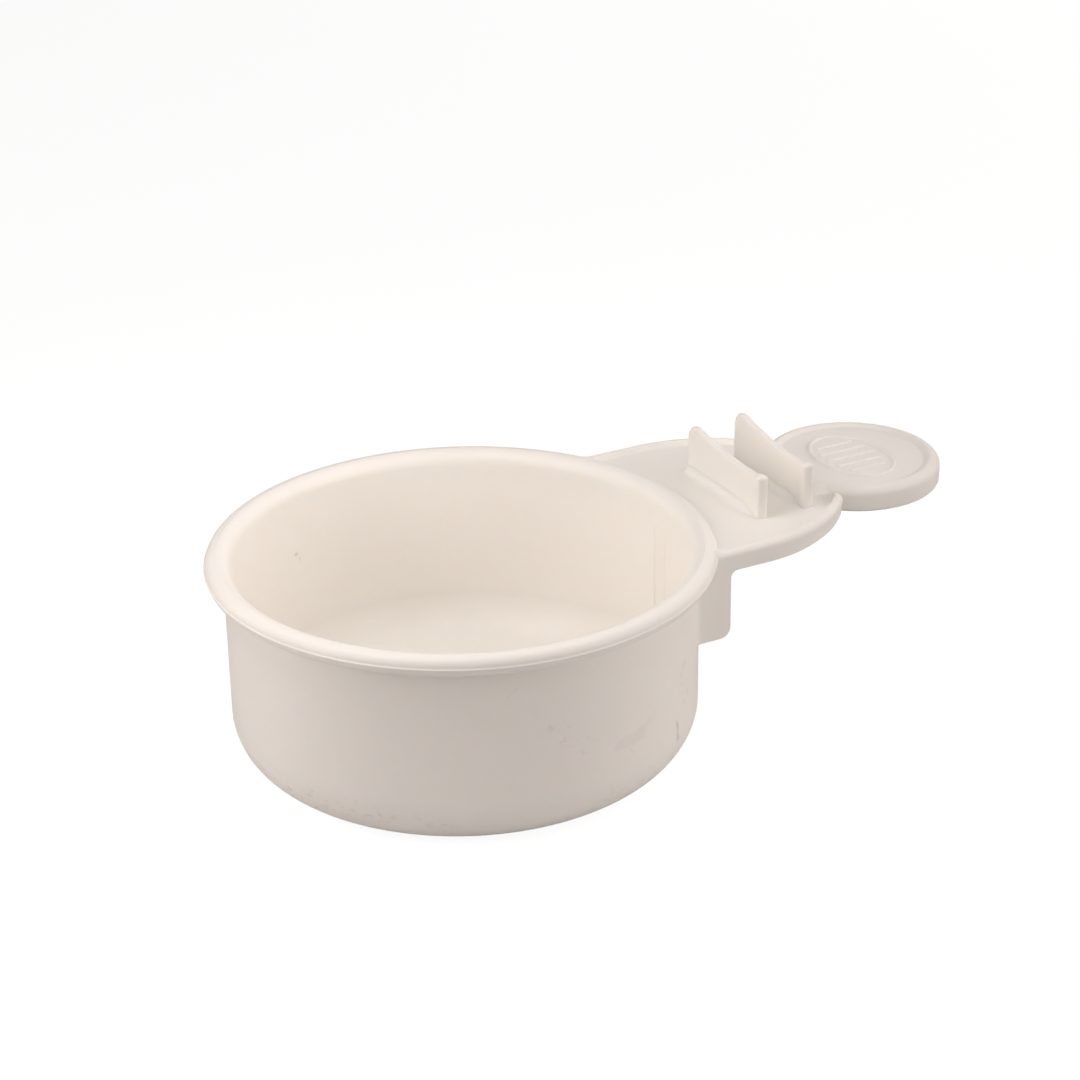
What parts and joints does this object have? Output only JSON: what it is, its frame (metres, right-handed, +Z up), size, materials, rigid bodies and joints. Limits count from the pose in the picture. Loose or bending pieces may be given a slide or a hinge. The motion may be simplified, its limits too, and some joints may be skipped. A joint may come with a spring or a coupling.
{
  "type": "hair color bowl",
  "caption": "Round one-handed mixing bowl with a rolled rim and a flat handle at rim level, with upright rest fins and a round thumb disc at its end.",
  "frame": {"origin": "centre of the bowl's flat underside, on the bowl's axis", "axes": "+Z up along the bowl's axis, +X from the bowl along the handle to the thumb disc, +Y to the side where the fins rise to their tips"},
  "size_m": [0.2078, 0.13, 0.0683],
  "materials": {
    "off_white_plastic": "satin off-white moulded plastic"
  },
  "bodies": {
    "root": {"cup_base": "off_white_plastic", "cup_wall": "off_white_plastic", "rim_bead": "off_white_plastic", "handle_plate": "off_white_plastic", "near_border": "off_white_plastic", "far_border": "off_white_plastic", "near_gusset": "off_white_plastic", "far_gusset": "off_white_plastic", "near_rib": "off_white_plastic", "far_rib": "off_white_plastic", "inner_fin": "off_white_plastic", "outer_fin": "off_white_plastic", "disc_rim": "off_white_plastic", "disc_web": "off_white_plastic", "grip_oval": "off_white_plastic", "grip_ridges": "off_white_plastic"}
  },
  "joints": []
}
